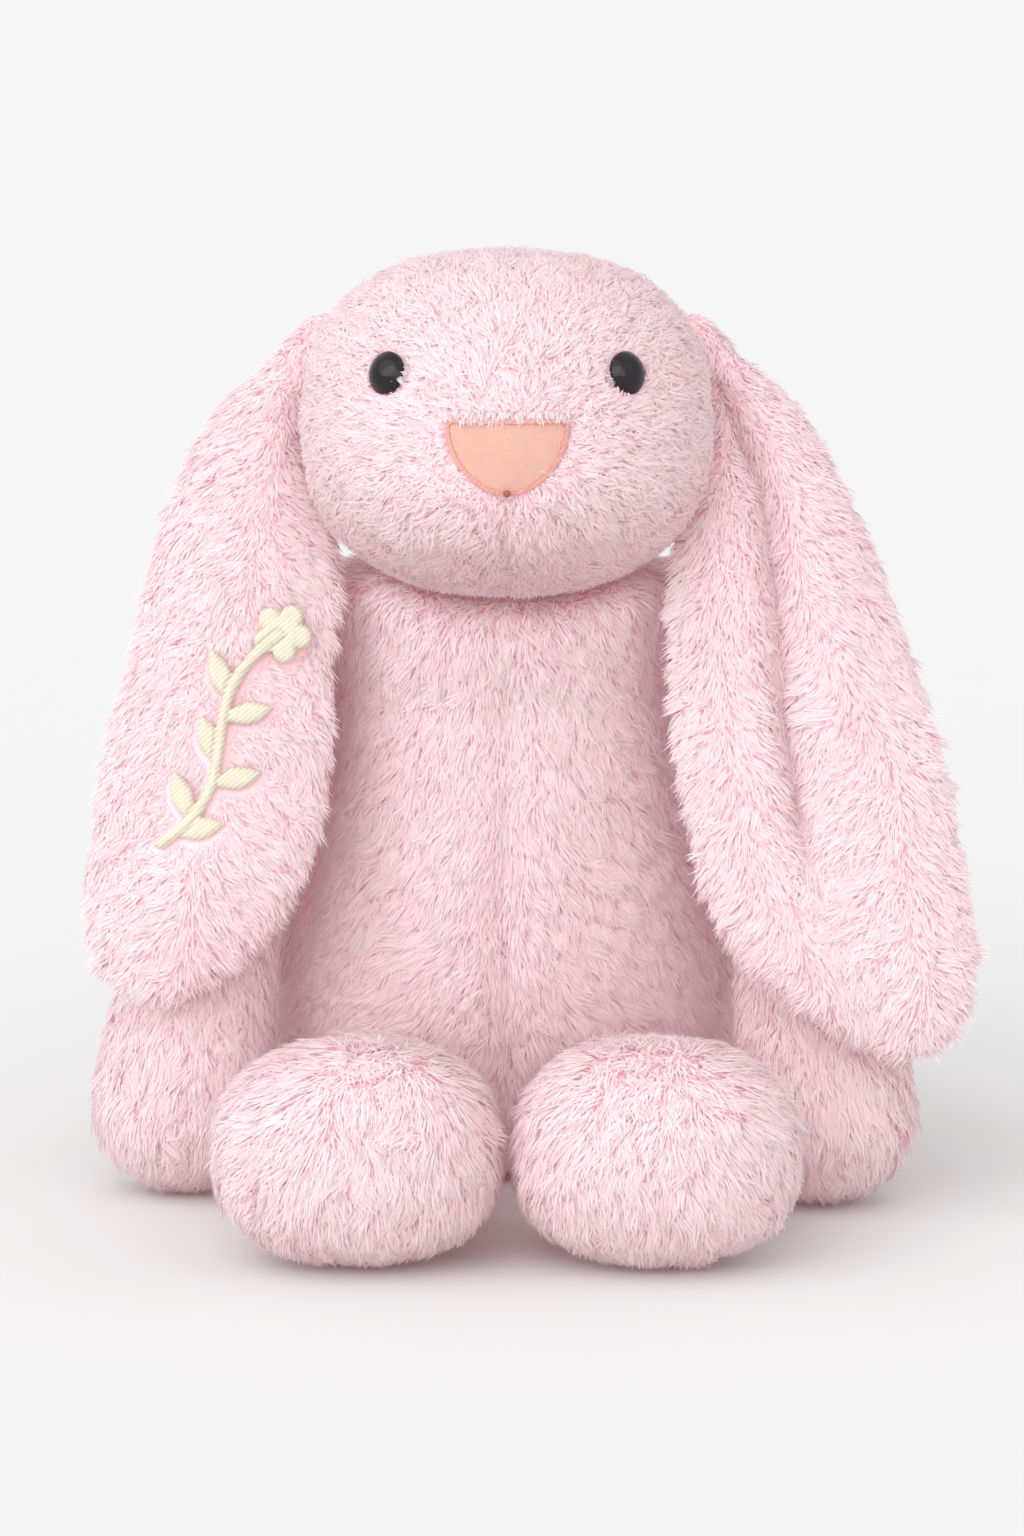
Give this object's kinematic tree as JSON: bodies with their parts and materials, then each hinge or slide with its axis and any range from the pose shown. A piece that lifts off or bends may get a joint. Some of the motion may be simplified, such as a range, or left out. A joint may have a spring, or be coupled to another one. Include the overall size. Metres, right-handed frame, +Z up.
{
  "type": "plush rabbit",
  "caption": "Sitting plush rabbit with long lop ears, fluffy pink fur, a woven nose and a weighted seat; head, ears, arms and legs move.",
  "frame": {"origin": "middle of the flat seat, on the surface that the rabbit sits on", "axes": "+Z up through the head, -Y the way the rabbit faces, +X to its left paw (the viewer's right)"},
  "size_m": [0.2583, 0.2525, 0.277],
  "materials": {
    "pink_fur": "soft",
    "filling": "soft",
    "pouch_cloth": "matte",
    "pellets": "matte",
    "nose_cloth": "matte",
    "nose_thread": "satin",
    "knot_thread": "satin",
    "cream_thread": "satin",
    "eye_bead": "gloss",
    "washer_plastic": "matte"
  },
  "bodies": {
    "torso": {"torso_cover": "pink_fur", "torso_filling": "filling", "bean_pouch": "pouch_cloth", "bean_pellets": "pellets", "tail_cover": "pink_fur", "tail_filling": "filling"},
    "head": {"head_cover": "pink_fur", "head_filling": "filling", "nose_patch": "nose_cloth", "nose_edging": "nose_thread", "nose_knot": "knot_thread", "eye_left": "eye_bead", "eye_right": "eye_bead", "eye_left_washer": "washer_plastic", "eye_right_washer": "washer_plastic"},
    "ear_left": {"ear_left_front": "pink_fur", "ear_left_back": "pink_fur", "ear_left_embroidery": "cream_thread"},
    "ear_right": {"ear_right_front": "pink_fur", "ear_right_back": "pink_fur"},
    "arm_left": {"arm_left_cover": "pink_fur", "arm_left_filling": "filling"},
    "arm_right": {"arm_right_cover": "pink_fur", "arm_right_filling": "filling"},
    "leg_left": {"leg_left_cover": "pink_fur", "leg_left_sole": "pink_fur", "leg_left_filling": "filling"},
    "leg_right": {"leg_right_cover": "pink_fur", "leg_right_sole": "pink_fur", "leg_right_filling": "filling"}
  },
  "joints": [
    {"name": "head_tilt", "type": "hinge", "parent": "torso", "child": "head", "pos_m": [0, 0.008, 0.178], "axis": [-1, 0, 0], "range_deg": [0, 18]},
    {"name": "ear_left_lift", "type": "hinge", "parent": "head", "child": "ear_left", "pos_m": [-0.0595, 0.01, 0.25], "axis": [0, 0.9511, -0.309], "range_deg": [0, 115]},
    {"name": "ear_right_lift", "type": "hinge", "parent": "head", "child": "ear_right", "pos_m": [0.0595, 0.01, 0.25], "axis": [0, -0.9397, 0.342], "range_deg": [0, 115]},
    {"name": "arm_left_lift", "type": "hinge", "parent": "torso", "child": "arm_left", "pos_m": [-0.0675, 0, 0.1565], "axis": [0, 0.9659, -0.2588], "range_deg": [0, 80]},
    {"name": "arm_right_lift", "type": "hinge", "parent": "torso", "child": "arm_right", "pos_m": [0.0675, 0, 0.1565], "axis": [0, -0.9455, 0.3256], "range_deg": [0, 80]},
    {"name": "leg_left_spread", "type": "hinge", "parent": "torso", "child": "leg_left", "pos_m": [-0.037, -0.06, 0.027], "axis": [0, 0, -1], "range_deg": [0, 18]},
    {"name": "leg_right_spread", "type": "hinge", "parent": "torso", "child": "leg_right", "pos_m": [0.037, -0.06, 0.027], "axis": [0, 0, 1], "range_deg": [0, 18]}
  ]
}
